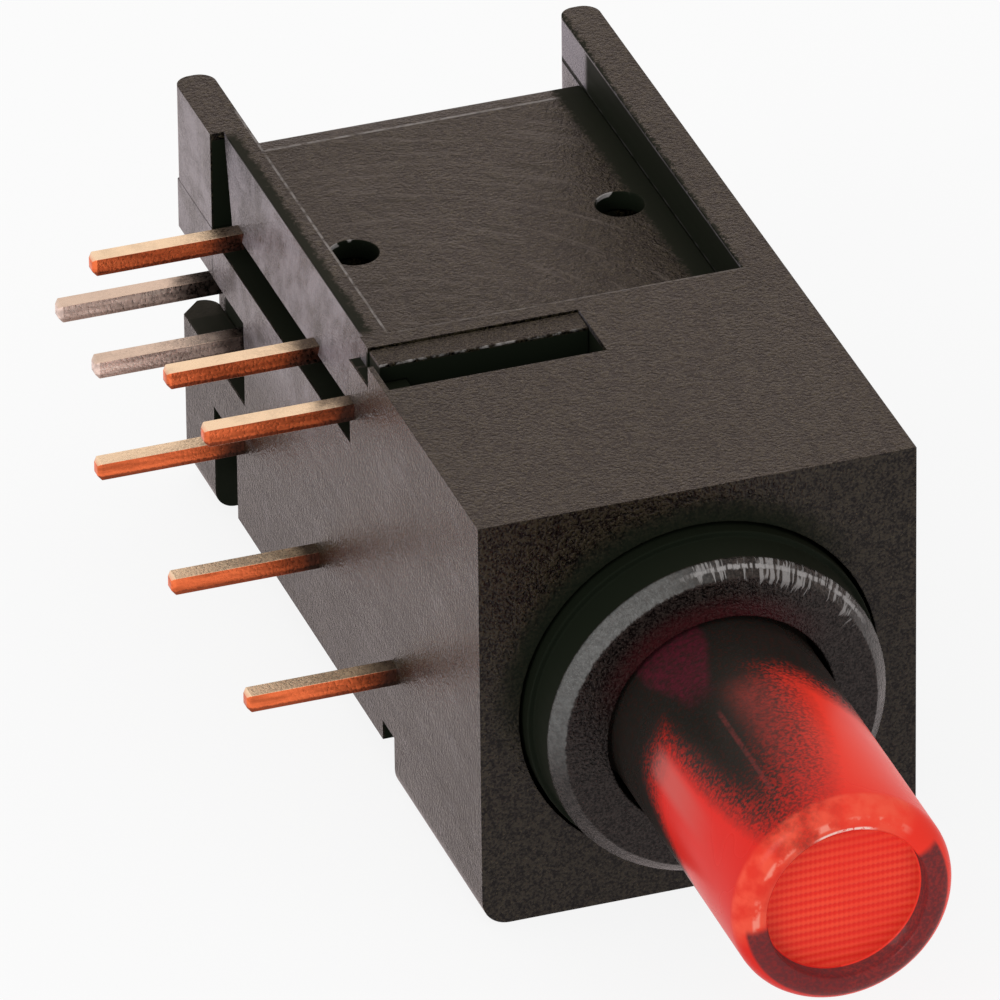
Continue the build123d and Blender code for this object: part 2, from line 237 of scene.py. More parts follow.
def black_plastic(name, colour, grain, marks_and_painted_light=None):
    """Black moulded plastic: fine grain, pale specks, drag lines, and, from the given function,
    marks of wear, painted highlights, and places left black as painted shade.
    """
    made, n = material(name)
    fine = n.noise(15, detail=2, roughness=0.6)
    coarse = n.noise(5, detail=3)
    specks = n.noise(18, detail=1)
    patches = n.noise(0.35, detail=3)
    drag = n.noise(3.0, detail=4, stretch=(1, 0.06, 1))
    spot = n.math("ADD", n.math("MULTIPLY", fine, 0.7), n.math("MULTIPLY", coarse, 0.3))
    body = n.mix(n.ramp(spot, 0.40, 0.62), tone(colour, 0.0), tone(colour, BODY_TONE))
    skin = n.mix(n.ramp(specks, 0.60, 0.78), body, tone(colour, SPECK_TONE))
    rough = n.ramp(patches, 0.3, 0.7, 0.14, 0.20)
    rough = n.math("ADD", rough, n.ramp(drag, 0.35, 0.75, -0.02, 0.04))
    # The grain shows less on faces turned to the front
    grain = n.math("MULTIPLY", n.ramp(n.facing()["Y"], -0.9, -0.5, 0.7, 1.3), grain)
    rounded = n.add("ShaderNodeBevel", {"samples": 2}, Radius=EDGE_ROUND)
    shader = n.add("ShaderNodeBsdfPrincipled", IOR=PLASTIC_IOR)
    shine = n.mix(n.ramp(spot, 0.36, 0.58), DULL_SHINE, FULL_SHINE)
    if marks_and_painted_light:
        # Painted shade: where the mask is full, the skin turns black, rougher and dimly reflecting,
        # with no grain
        skin, black_and_shade = marks_and_painted_light(n, skin)
        skin = n.mix(black_and_shade, skin, BLACK_AND_SHADE_SKIN)
        rough = n.math("ADD", rough, n.math("MULTIPLY", black_and_shade, 0.5))
        shine = n.mix(black_and_shade, shine, BLACK_AND_SHADE_SHINE)
        grain = n.math("MULTIPLY", n.math("SUBTRACT", 1.0, black_and_shade), grain)
    n.put(shader, "Base Color", skin)
    n.put(shader, "Roughness", rough)
    n.put(shader, "Specular Tint", shine)
    n.put(shader, "Normal", grain_bump(n, spot, drag, grain, rounded.outputs[0]))
    finish_surface(n, shader)
    return made


# Body's own places, in its millimetres
BODY_H = 9.7
WALL = 0.87
FAR_WALL = 8.79
FLOOR_Z = 8.7
RECESS_Y = 8.27
FLOOR_REAR = 18.16
NOSE_Y = 7.1
HOLE_Y = 13.35
HOLE_R = 0.535
HOLE_PLACES = (1.82, 7.84)
SCRAPE_MIDDLE = (1.5, 8.5)
SIDE_SHEEN_Z = (4.4, 7.2)
LEDGE_Y = (17.4, 17.5)
LEDGE_Z = (4.2, 4.35)
# Painted shadow of the collar on the front face: its radii, and the turn it is centred on
COLLAR_SHADOW_R = (4.05, 4.75)
COLLAR_SHADOW_AT = 112.0

# Stretches of the body: a rise and a fall for each mask
WINDOW_Y = ((5.9, 5.95), (7.85, 7.95))
WINDOW_X = ((0.02, 0.06), (5.1, 5.2))
GROOVE_Y = ((7.9, 8.0), (19.4, 19.6))
GROOVE_FLOOR_X = ((0.37, 0.42), (1.6, 1.8))
GROOVE_WALL_X = ((0.02, 0.05), (0.80, 0.84))
FRINGE_Y = ((8.2, 8.6), (17.2, 17.6))
FAR_FACE_Z = ((8.5, 8.6), (9.6, 9.66))
FLOOR_HEIGHT = ((FLOOR_Z - 0.12, FLOOR_Z - 0.08), (FLOOR_Z + 0.02, FLOOR_Z + 0.04))

# Colours: painted paler reflection of the pin side, side marks, scrapes, painted reflection at the
# far face's rear end, painted edge highlights
SIDE_SHEEN = (0.24, 0.215, 0.235, 1)
SIDE_MARK = (0.075, 0.068, 0.07, 1)
SCRAPE = (0.06, 0.05, 0.042, 1)
FAR_FACE_REFLECTION = (0.20, 0.18, 0.215, 1)
EDGE_HIGHLIGHT = (0.36, 0.34, 0.33, 1)


def side_sheen_and_marks(n, skin, place, way):
    """Pin side: the upper rear is painted paler, in blotches, as a brighter reflection, and the
    rest is lightly marked.
    """
    x, y, z = place
    left = n.ramp(way["X"], -0.8, -0.95)
    blotch = n.noise(1.1, detail=5, roughness=0.6)
    rear = n.ramp(n.math("ADD", y, n.math("MULTIPLY", z, 0.9)), 14.5, 18.0)
    blotches = n.ramp(blotch, 0.32, 0.66, 0.40, 1.05)
    # Painted reflection: paler towards the upper rear of the pin side
    amount = both(n, left, rear, n.ramp(z, *SIDE_SHEEN_Z), blotches)
    flap = both(n, n.ramp(way["X"], -0.5, -0.7), n.ramp(x, 0.9, 0.8))
    flap = both(n, flap, n.ramp(y, 12.5, 14.5), n.ramp(z, 5.0, 6.5), 0.25)
    skin = n.mix(either(n, amount, flap), skin, SIDE_SHEEN)
    marks = n.ramp(n.noise(2.5, detail=5, stretch=(1, 0.35, 1)), 0.52, 0.72)
    return n.mix(both(n, left, marks, 0.5), skin, SIDE_MARK)


def scraped_floor(n, skin, place, on_floor):
    """Sunk floor: curved scrapes, and dents between them that stay black."""
    x, y, _ = place
    far, angle = polar(n, x, y, *SCRAPE_MIDDLE)
    across = n.math("MULTIPLY", far, 5.0)
    scrapes = swept_noise(n, across, n.math("MULTIPLY", angle, 0.045), 4.0)
    skin = n.mix(both(n, on_floor, n.ramp(scrapes, 0.53, 0.75), 0.75), skin, SCRAPE)
    patches = n.ramp(n.noise(0.8, detail=3), 0.6, 0.42)
    return skin, both(n, on_floor, patches, n.ramp(scrapes, 0.5, 0.3), 0.3)


def hollow_shade(n, place, way):
    """Painted shade in hollows: holes, the window's pocket, the grooves of the pin side, the rear
    ledge.
    """
    x, y, z = place
    hollows = []
    for hole_x in HOLE_PLACES:
        far, _ = polar(n, x, y, hole_x, HOLE_Y)
        inside = n.ramp(far, HOLE_R + 0.03, HOLE_R + 0.01)
        hollows.append(both(n, inside, n.ramp(z, FLOOR_Z + 0.03, FLOOR_Z)))
    window = both(n, span(n, y, *WINDOW_Y), span(n, x, *WINDOW_X))
    hollows.append(both(n, window, n.ramp(z, BODY_H - 0.09, BODY_H - 0.14)))
    # Grooves: painted shade on their floors, and on the walls that stand beside them
    grooves = both(n, span(n, y, *GROOVE_Y), n.ramp(z, 9.55, 9.5))
    floors = both(n, grooves, span(n, x, *GROOVE_FLOOR_X))
    hollows.append(both(n, floors, n.ramp(n.math("ABSOLUTE", way["Z"]), 0.95, 0.8)))
    walls = both(n, grooves, span(n, x, *GROOVE_WALL_X))
    hollows.append(both(n, walls, n.ramp(way["X"], -0.7, -0.5)))
    ledge = both(n, n.ramp(z, LEDGE_Z[1], LEDGE_Z[0]), n.ramp(y, *LEDGE_Y), n.ramp(x, 2.4, 2.2))
    upward = n.ramp(n.math("ADD", way["X"], way["Z"]), -0.9, -0.6)
    hollows.append(both(n, ledge, upward, n.ramp(way["Y"], 0.6, 0.4), 0.85))
    return either(n, *hollows)


def edge_highlights(n, place, on_top, behind):
    """Painted highlights: pale broken lines along edges, and a small glint on the far rim of each
    hole.
    """
    x, y, z = place
    broken = n.ramp(n.noise(3.0, detail=4), 0.36, 0.6, 0.12, 0.8)
    rear_line = both(n, near(n, y, FLOOR_REAR, 0.05, 0.03), span(n, z, (8.5, 8.6), (8.9, 9.0)))
    rear_line = both(n, rear_line, n.ramp(x, 8.3, 8.0), 0.65)
    wall_line = both(n, near(n, x, WALL - 0.03, 0.035, 0.02), on_top)
    wall_line = both(n, wall_line, behind, n.ramp(y, 18.5, 18.3), 0.6)
    recess_line = both(n, near(n, y, RECESS_Y - 0.03, 0.03, 0.02), on_top)
    recess_line = both(n, recess_line, span(n, x, (1.0, 1.1), (8.8, 8.9)), 0.22)
    nose_line = both(n, near(n, y, NOSE_Y, 0.03, 0.015), n.ramp(z, 9.60, 9.62))
    nose_line = both(n, nose_line, n.ramp(x, 4.95, 4.8), n.ramp(n.noise(5.0, detail=3), 0.42, 0.62))
    corner_line = both(n, near(n, x, FAR_WALL, 0.025, 0.012), near(n, z, FLOOR_Z, 0.03, 0.015))
    corner_line = both(n, corner_line, behind, 0.2)
    lines = either(n, rear_line, wall_line, recess_line, nose_line, corner_line)
    lines = both(n, lines, broken)
    for hole_x in HOLE_PLACES:
        far, angle = polar(n, x, y, hole_x, HOLE_Y)
        glint = both(n, near(n, far, HOLE_R, 0.03, 0.015), near_turn(n, angle, 100.0, 55.0, 40.0))
        glint = both(n, glint, n.ramp(z, FLOOR_Z - 0.12, FLOOR_Z - 0.08))
        glint = both(n, glint, n.ramp(n.noise(2.5, detail=2), 0.44, 0.5))
        lines = either(n, lines, glint)
    return lines


def body_wear_and_painted_light(n, skin):
    """Marks on the body: pin side painted paler, scraped floor, painted edge highlights, and
    painted shade in hollows.
    """
    place = n.place()
    x, y, z = place
    way = n.facing()
    ragged = n.math("SUBTRACT", n.noise(8.0, detail=4, roughness=0.7), 0.5)
    edge_x = n.math("ADD", x, n.math("MULTIPLY", ragged, 0.55))
    on_top = n.ramp(z, BODY_H - 0.06, BODY_H - 0.03)
    behind = n.ramp(y, RECESS_Y - 0.05, RECESS_Y + 0.05)
    on_floor = both(n, span(n, z, *FLOOR_HEIGHT), behind)
    skin = side_sheen_and_marks(n, skin, place, way)
    skin, dents = scraped_floor(n, skin, place, on_floor)
    # Far wall's inner face: painted black shade, with a painted pale reflection at its rear end
    far_face = both(n, n.ramp(way["X"], -0.7, -0.9), n.ramp(x, 8.0, 8.2), behind)
    far_face = both(n, far_face, span(n, z, *FAR_FACE_Z))
    skin = n.mix(both(n, far_face, n.ramp(y, 18.1, 18.4)), skin, FAR_FACE_REFLECTION)
    far_face = both(n, far_face, n.ramp(y, 18.4, 18.1))
    # Black too: painted shadow on a strip of the floor beside it, and black along its upper rim and
    # the near wall's outer edge
    slant = n.math("MULTIPLY", n.math("SUBTRACT", y, 13.0), 0.012)
    far_floor_shadow = n.ramp(n.math("ADD", edge_x, slant), FAR_WALL - 0.75, FAR_WALL - 0.5)
    far_floor_shadow = both(n, far_floor_shadow, on_floor)
    rim = both(n, on_top, behind, n.ramp(edge_x, FAR_WALL + 0.10, FAR_WALL + 0.02))
    rim = both(n, rim, n.ramp(x, FAR_WALL - 0.05, FAR_WALL))
    fringe = both(n, on_top, span(n, y, *FRINGE_Y), n.ramp(edge_x, 0.64, 0.46))
    # Painted shadow of the collar on the front face, above and to its left
    far, angle = polar(n, x, z)
    collar_shadow_edge = n.math("ADD", far, n.math("MULTIPLY", ragged, 0.9))
    collar_shadow = both(n, n.ramp(way["Y"], -0.8, -0.95), n.ramp(y, 0.4, 0.3))
    collar_shadow = both(n, collar_shadow, n.ramp(collar_shadow_edge, COLLAR_SHADOW_R[1], COLLAR_SHADOW_R[0]))
    collar_shadow = both(n, collar_shadow, near_turn(n, angle, COLLAR_SHADOW_AT, 88.0, 45.0), 0.85)
    black_and_shade = either(n, far_face, far_floor_shadow, rim, fringe, dents, collar_shadow, hollow_shade(n, place, way))
    lines = edge_highlights(n, place, on_top, behind)
    # Painted edge highlights go over the rest and keep it from turning black
    skin = n.mix(lines, skin, EDGE_HIGHLIGHT)
    return skin, n.math("MULTIPLY", black_and_shade, n.math("SUBTRACT", 1.0, lines))


# Collar's own places: radii of its bevel, rim and flange, and how far back bevel and flange are
BEVEL_R = (3.43, 3.47)
BEVEL_Y = (-1.08, -1.13)
RIM_R = 3.62
COLLAR_FLANGE_R = (3.90, 3.93)
COLLAR_FLANGE_Y = (-0.6, -0.5)

# Turns round the collar, in degrees, where its highlights and the lens's red reflection are painted
BEVEL_LIT_LEFT = 141.0
BEVEL_LIT_RIGHT = 2.0
STREAKS_AT = 66.0
LENS_REFLECTION_AT = 100.0
LEFT_ARC = 134.0

# Painted highlights on the bevel, streaks and arcs, and the lens's painted red reflection
BEVEL_HIGHLIGHT = (0.115, 0.118, 0.115, 1)
STREAK_HIGHLIGHT = (0.30, 0.29, 0.285, 1)
LENS_RED_REFLECTION = (0.05, 0.008, 0.010, 1)
ARC_HIGHLIGHT = (0.34, 0.33, 0.32, 1)


def collar_highlights_and_shade(n, skin):
    """Painted light on the collar: highlight on the bevel, highlight streaks above, shade on the
    sides, and the red reflection of the lens.
    """
    x, y, z = n.place()
    far, angle = polar(n, x, z)
    grit = n.noise(9, detail=3, roughness=0.7)
    edge = n.math("ADD", far, n.math("MULTIPLY", n.math("SUBTRACT", grit, 0.5), 0.10))
    # Painted highlight on the bevel, strongest on the upper left
    forward = n.ramp(y, *BEVEL_Y)
    bevel = both(n, n.ramp(edge, *BEVEL_R), forward)
    upper_left = n.ramp(turned(n, angle, BEVEL_LIT_LEFT), 58.0, 27.0, 0.10, 1.0)
    right_side = n.ramp(turned(n, angle, BEVEL_LIT_RIGHT), 45.0, 20.0, 0.0, 0.55)
    amount = both(n, bevel, either(n, upper_left, right_side), n.ramp(grit, 0.3, 0.7, 0.6, 1.0))
    skin = n.mix(amount, skin, BEVEL_HIGHLIGHT)
    # Painted highlight streaks: noise that is long along the radius and narrow round the turn
    streak = swept_noise(n, n.math("MULTIPLY", angle, 0.75), n.math("MULTIPLY", far, 1.6), 3.0)
    window = near_turn(n, angle, STREAKS_AT, 42.0, 28.0)
    reach = both(n, n.ramp(far, 3.0, 3.5), window)
    cut = n.ramp(n.noise(1.4, detail=2), 0.35, 0.65, 0.64, 0.78)
    cut = n.math("SUBTRACT", cut, n.math("MULTIPLY", reach, 0.20))
    streaks = both(n, n.ramp(n.math("SUBTRACT", streak, cut), 0.0, 0.07), reach, forward, 0.75)
    rim = both(n, near(n, edge, RIM_R, 0.05, 0.02), window, forward)
    streaks = either(n, streaks, both(n, rim, n.ramp(streak, 0.36, 0.52)))
    skin = n.mix(streaks, skin, STREAK_HIGHLIGHT)
    # Painted red reflection of the lens on the collar's mouth
    mouth = both(n, n.ramp(far, 3.2, 2.6), near_turn(n, angle, LENS_REFLECTION_AT, 75.0, 25.0))
    skin = n.mix(both(n, mouth, n.ramp(grit, 0.3, 0.6, 0.4, 0.8)), skin, LENS_RED_REFLECTION)
    # Painted shade: sides left black, with two painted highlight arcs on the flange's edge
    step = both(n, n.ramp(far, *COLLAR_FLANGE_R), n.ramp(y, *COLLAR_FLANGE_Y), 0.9)
    left_arc = near_turn(n, angle, LEFT_ARC, 13.0, 5.0)
    arcs = either(n, left_arc, near_turn(n, angle, STREAKS_AT, 24.0, 12.0))
    arcs = both(n, arcs, step, n.ramp(grit, 0.3, 0.5))
    skin = n.mix(arcs, skin, ARC_HIGHLIGHT)
    black_and_shade = both(n, n.ramp(y, -1.12, -1.05), n.math("SUBTRACT", 1.0, arcs))
    return skin, black_and_shade


BLACK = (0.0092, 0.0074, 0.0040)
WARM_BLACK = (0.0092, 0.0070, 0.0060)
DARK_GREY = (0.03, 0.03, 0.032)
housing_skin = black_plastic("housing_skin", BLACK, 1.0, body_wear_and_painted_light)
carrier_skin = black_plastic("carrier_skin", BLACK, 1.0, body_wear_and_painted_light)
collar_skin = black_plastic("collar_skin", WARM_BLACK, 1.0, collar_highlights_and_shade)
slider_skin = black_plastic("slider_skin", DARK_GREY, 0.6)


PIN_T = 0.4
LOWEST_ROW = 3.0
ROW_PITCH = 2.54
# Painted shade near the pins' roots
PIN_ROOT_SHADE = (0.055, 0.042, 0.036, 1)


def pin_metal(name, plated, bare, under):
    """A stamped pin: plated on its upper and lower faces, bare on the sheared sides and end, with
    painted shade near its root.
    """
    made, n = material(name)
    x, _, z = n.place()
    # Height within the pin, from its lower face
    above_row = n.math("SUBTRACT", z, LOWEST_ROW - ROW_PITCH / 2)
    rise = n.math("WRAP", above_row, ROW_PITCH, 0.0)
    rise = n.math("ADD", rise, PIN_T / 2 - ROW_PITCH / 2)
    up = n.math("ABSOLUTE", n.facing()["Z"])
    stain = n.noise(2.2, detail=5)
    grit = n.noise(14, detail=2)
    sheared = n.noise(7, detail=3, stretch=(0.12, 1, 1))
    face = n.ramp(up, 0.4, 0.8)
    dull = n.ramp(n.math("ADD", stain, n.math("MULTIPLY", grit, 0.35)), 0.6, 0.95)
    # Painted shade near the root, where the pin leaves the body
    root_shade = n.ramp(n.math("ADD", x, n.math("SUBTRACT", stain, 0.5)), -1.0, -0.1, 0.0, 0.9)
    uneven = n.math("MULTIPLY", n.math("SUBTRACT", grit, 0.5), 0.1)
    low_edge = n.ramp(n.math("ADD", rise, uneven), 0.07, 0.12)
    top = n.mix(dull, tone(plated, 1.0), tone(plated, 0.84))
    side = n.mix(n.ramp(sheared, 0.35, 0.7), tone(bare, 1.25), tone(bare, 0.7))
    side = n.mix(n.math("MULTIPLY", n.math("SUBTRACT", 1.0, low_edge), 0.75), side, under)
    metal = n.mix(root_shade, n.mix(face, side, top), PIN_ROOT_SHADE)
    shader = n.add(
        "ShaderNodeBsdfPrincipled",
        Base_Color=metal,
        Metallic=1.0,
        Roughness=n.ramp(grit, 0.3, 0.75, 0.24, 0.42),
        Normal=grain_bump(n, grit, sheared, 0.16),
    )
    finish_surface(n, shader)
    return made


GOLD = (1.0, 0.90, 0.68)
COPPER = (0.86, 0.20, 0.07)
COPPER_UNDER = (0.10, 0.03, 0.02, 1)
TIN = (0.76, 0.70, 0.62)
PALE_STEEL = (0.84, 0.72, 0.64)
STEEL_UNDER = (0.36, 0.28, 0.24, 1)
copper_pin = pin_metal("copper_pin", GOLD, COPPER, COPPER_UNDER)
plated_pin = pin_metal("plated_pin", TIN, PALE_STEEL, STEEL_UNDER)


def bright_metal(name, colour, roughness):
    """Clean metal of the inner parts, a little uneven in colour and polish."""
    made, n = material(name)
    lines = n.noise(8, detail=2)
    shader = n.add(
        "ShaderNodeBsdfPrincipled",
        Base_Color=n.mix(lines, tone(colour, 0.85), tone(colour, 1.0)),
        Metallic=1.0,
        Roughness=n.ramp(lines, 0.3, 0.7, roughness - 0.05, roughness + 0.08),
    )
    finish_surface(n, shader)
    return made


STEEL = (0.6, 0.6, 0.6)
BRONZE = (0.75, 0.55, 0.36)
spring_metal = bright_metal("spring_metal", STEEL, 0.25)
strip_metal = bright_metal("strip_metal", BRONZE, 0.3)


RESIN_IOR = 1.49


def clear_resin(name, colour, roughness):
    """Clear coloured plastic, with faint flow marks inside its polish."""
    made, n = material(name)
    flow = n.noise(0.5, detail=2)
    shader = n.add(
        "ShaderNodeBsdfPrincipled",
        Base_Color=n.mix(flow, tone(colour, 0.96), tone(colour, 1.0)),
        Roughness=n.ramp(flow, 0.3, 0.7, roughness, roughness + 0.02),
        IOR=RESIN_IOR,
    )
    shader.inputs["Transmission Weight"].default_value = 1.0
    finish_surface(n, shader)
    return made


RED_RESIN = (0.9, 0.25, 0.2)
CHIP_METAL = (0.8, 0.35, 0.15)
diode_resin = clear_resin("diode_resin", RED_RESIN, 0.05)
chip_skin = bright_metal("chip_skin", CHIP_METAL, 0.3)

# Lens: turned outline, with the sunk disc at its tip ribbed across and down
LENS_R = 2.4
TIP_Y = -9.05
TIP_EDGE_R = 0.5
DISC_R = 1.74
DISC_Y = -8.6
DISC_RIM = 0.06
RIB_PITCH = 0.19
RIB_ACROSS = 0.105
RIB_DEPTH = 0.012
RIB_FADE = 0.06
FLANGE_R = 2.68
FLANGE_Y = (0.22, 0.88)
LENS_REAR = 2.2
BORE_R = 1.65
BORE_TIP = -3.0

# Steps of the lens's outline, and how many times it is repeated round the turn
DISC_RINGS = 46
CORNER_STEPS = 10
BODY_RINGS = 12
BORE_STEPS = 12
BORE_LAST = -84
LENS_TURNS = 224


def arc(middle, radius, first, last, steps):
    """Points (radius, y) of an arc about a middle, from one angle to another in degrees."""
    points = []
    for i in range(steps + 1):
        a = math.radians(first + (last - first) * i / steps)
        points.append((middle[0] + radius * math.cos(a), middle[1] + radius * math.sin(a)))
    return points


def lens_profile():
    """Outline of the lens from the disc's middle round to the bore's middle, as (radius, y)."""
    points = [(DISC_R * i / DISC_RINGS, DISC_Y) for i in range(1, DISC_RINGS + 1)]
    points += [(DISC_R + 0.01, TIP_Y + 0.05), (DISC_R + DISC_RIM, TIP_Y)]
    side_y = TIP_Y + TIP_EDGE_R
    points += arc((LENS_R - TIP_EDGE_R, side_y), TIP_EDGE_R, -90, 0, CORNER_STEPS)
    for i in range(1, BODY_RINGS):
        points.append((LENS_R, side_y + (FLANGE_Y[0] - TIP_Y - TIP_EDGE_R) * i / BODY_RINGS))
    points += [(LENS_R, FLANGE_Y[0]), (FLANGE_R, FLANGE_Y[0]), (FLANGE_R, FLANGE_Y[1])]
    points += [(LENS_R, FLANGE_Y[1]), (LENS_R, LENS_REAR), (BORE_R, LENS_REAR)]
    points += arc((0, BORE_TIP + BORE_R), BORE_R, 0, BORE_LAST, BORE_STEPS)
    return points


def ribs(x, z, radius):
    """How far the disc's small ribs stand out at a place from its middle."""
    fade = min(1.0, max(0.0, (DISC_R - radius) / RIB_FADE))
    across = math.sin(2 * math.pi * z / RIB_PITCH)
    down = math.sin(2 * math.pi * x / RIB_ACROSS)
    return fade * RIB_DEPTH * (0.75 * across + 0.25 * down)


def turned_piece(name, profile, turns, relief):
    """A closed solid turned about the button's axis; relief(x, z, r) lifts its flat disc."""
    mesh = bpy.data.meshes.new(name)
    points = [at(AXIS_X, DISC_Y - relief(0, 0, 0), AXIS_Z)]
    for radius, y in profile:
        for i in range(turns):
            a = 2 * math.pi * i / turns
            dx = radius * math.cos(a)
            dz = radius * math.sin(a)
            lift = relief(dx, dz, radius) if radius <= DISC_R and y == DISC_Y else 0
            points.append(at(AXIS_X + dx, y - lift, AXIS_Z + dz))
    points.append(at(AXIS_X, BORE_TIP, AXIS_Z))
    faces = []
    last = len(points) - 1
    for i in range(turns):
        j = (i + 1) % turns
        faces.append((0, 1 + i, 1 + j))
        for ring in range(len(profile) - 1):
            a = 1 + ring * turns
            b = a + turns
            faces.append((a + i, b + i, b + j, a + j))
        rear = 1 + (len(profile) - 1) * turns
        faces.append((rear + i, last, rear + j))
    mesh.from_pydata(points, [], faces)
    mesh.update()
    mesh.shade_smooth()
    piece = bpy.data.objects.new(name, mesh)
    scene.collection.objects.link(piece)
    return piece


# Lens's painted colours: its own red, and painted light and shade
LIT_RED = (0.84, 0.040, 0.022, 1)
RED = (0.66, 0.016, 0.010, 1)
DEEP = (0.009, 0.011, 0.009, 1)
BROWN = (0.16, 0.024, 0.020, 1)
DEEP_DOTS = (0.04, 0.022, 0.022, 1)
DIM_PATCH = (0.085, 0.010, 0.020, 1)
CREASE = (0.20, 0.03, 0.03, 1)
GLEAM = (0.42, 0.17, 0.15, 1)
TIP_HIGHLIGHT = (0.84, 0.10, 0.055, 1)
TIP_LIP_HIGHLIGHT = (0.90, 0.36, 0.28, 1)
MAROON_SHADE = (0.125, 0.024, 0.026, 1)
DISC_LOW = (0.76, 0.028, 0.018, 1)
DISC_CREST_HIGHLIGHT = (0.86, 0.070, 0.034, 1)
TIP_GLINT = (0.92, 0.62, 0.55, 1)
LENS_IOR = 1.2
PAINTED_GLOW_STRENGTH = 0.12

# Turns round the lens, in degrees: the painted dark wedge, its brown part, the patch, line and
# painted gleam
WEDGE_AT = 119.0
BROWN_AT = 88.0
PATCH_AT = 121.0
CREASE_AT = 117.5
GLEAM_AT = 160.0
TIP_TOP = 122.0
TIP_BOTTOM = -72.0
GLINT_AT = 92.0

# Painted wedge of dark: where it starts to narrow, and how much farther it reaches towards the tip
WEDGE_Y = -3.2
WEDGE_REACH = 5.3


def hollow_painted_shade(n, skin, y, angle, speckle, dots):
    """Painted shade of the hollow: a soft, speckled dark wedge towards the tip, and painted shadow
    at the collar.
    """
    shift = n.math("SUBTRACT", speckle, 0.5)
    past = n.math("MAXIMUM", n.math("SUBTRACT", WEDGE_Y, y), 0.0)
    along = n.math("DIVIDE", past, WEDGE_REACH)
    half_turn = n.ramp(angle, 115.0, 123.0, 43.0, 29.0)
    across = n.math("DIVIDE", turned(n, angle, WEDGE_AT), half_turn)
    inside = n.math("ADD", n.math("POWER", across, 2.0), n.math("POWER", along, 1.6))
    soft_edge = n.ramp(angle, 115.0, 125.0, 0.15, 0.40)
    wedge = n.ramp(n.math("ADD", inside, n.math("MULTIPLY", shift, 0.5)), 1.55, soft_edge)
    # Painted shadow all round near the collar, reaching farther on the left
    reach = n.ramp(angle, 168.0, 215.0, -3.3, -5.6)
    reach = n.math("ADD", reach, n.ramp(angle, 75.0, 45.0, 0.0, -0.6))
    base_y = n.math("SUBTRACT", n.math("ADD", y, n.math("MULTIPLY", shift, 0.6)), reach)
    shadow = n.ramp(base_y, -1.1, 0.45)
    dark = n.math("POWER", either(n, wedge, shadow), 0.5)
    dotted = n.math("SUBTRACT", n.ramp(dots, 0.35, 0.65), 0.5)
    dark = n.math("ADD", dark, both(n, near(n, dark, 0.62, 0.45, 0.10), dotted, 0.45))
    brown = both(n, near_turn(n, angle, BROWN_AT, 28.0, 12.0), n.ramp(y, -3.2, -4.4))
    inner = n.mix(both(n, brown, n.ramp(speckle, 0.3, 0.6, 0.5, 1.0)), DEEP, BROWN)
    inner = n.mix(n.ramp(dots, 0.45, 0.7, 0.0, 0.35), inner, DEEP_DOTS)
    return n.mix(dark, skin, inner)


def patch_line_and_gleam(n, skin, y, angle, speckle, dots):
    """Painted in the dark: a dim red patch of light and a faint line; and a soft painted pale
    reflection on the left.
    """
    patch_half = n.ramp(y, -1.6, -3.5, 19.0, 8.0)
    patch = n.ramp(n.math("SUBTRACT", turned(n, angle, PATCH_AT), patch_half), 3.0, -3.0)
    patch = both(n, patch, n.ramp(y, -3.9, -3.0), n.ramp(speckle, 0.3, 0.62, 0.2, 1.0))
    patch = both(n, patch, n.ramp(dots, 0.3, 0.6, 0.4, 1.0), 0.9)
    skin = n.mix(patch, skin, DIM_PATCH)
    crease = both(n, near_turn(n, angle, CREASE_AT, 1.8, 0.6), n.ramp(y, -8.0, -7.4))
    crease = both(n, crease, n.ramp(y, -4.1, -4.6), n.ramp(speckle, 0.3, 0.6), 0.4)
    skin = n.mix(crease, skin, CREASE)
    gleam = both(n, near_turn(n, angle, GLEAM_AT, 11.0, 3.0), n.ramp(y, -3.3, -4.0))
    return n.mix(both(n, gleam, n.ramp(y, -7.4, -4.4), 0.4), skin, GLEAM)


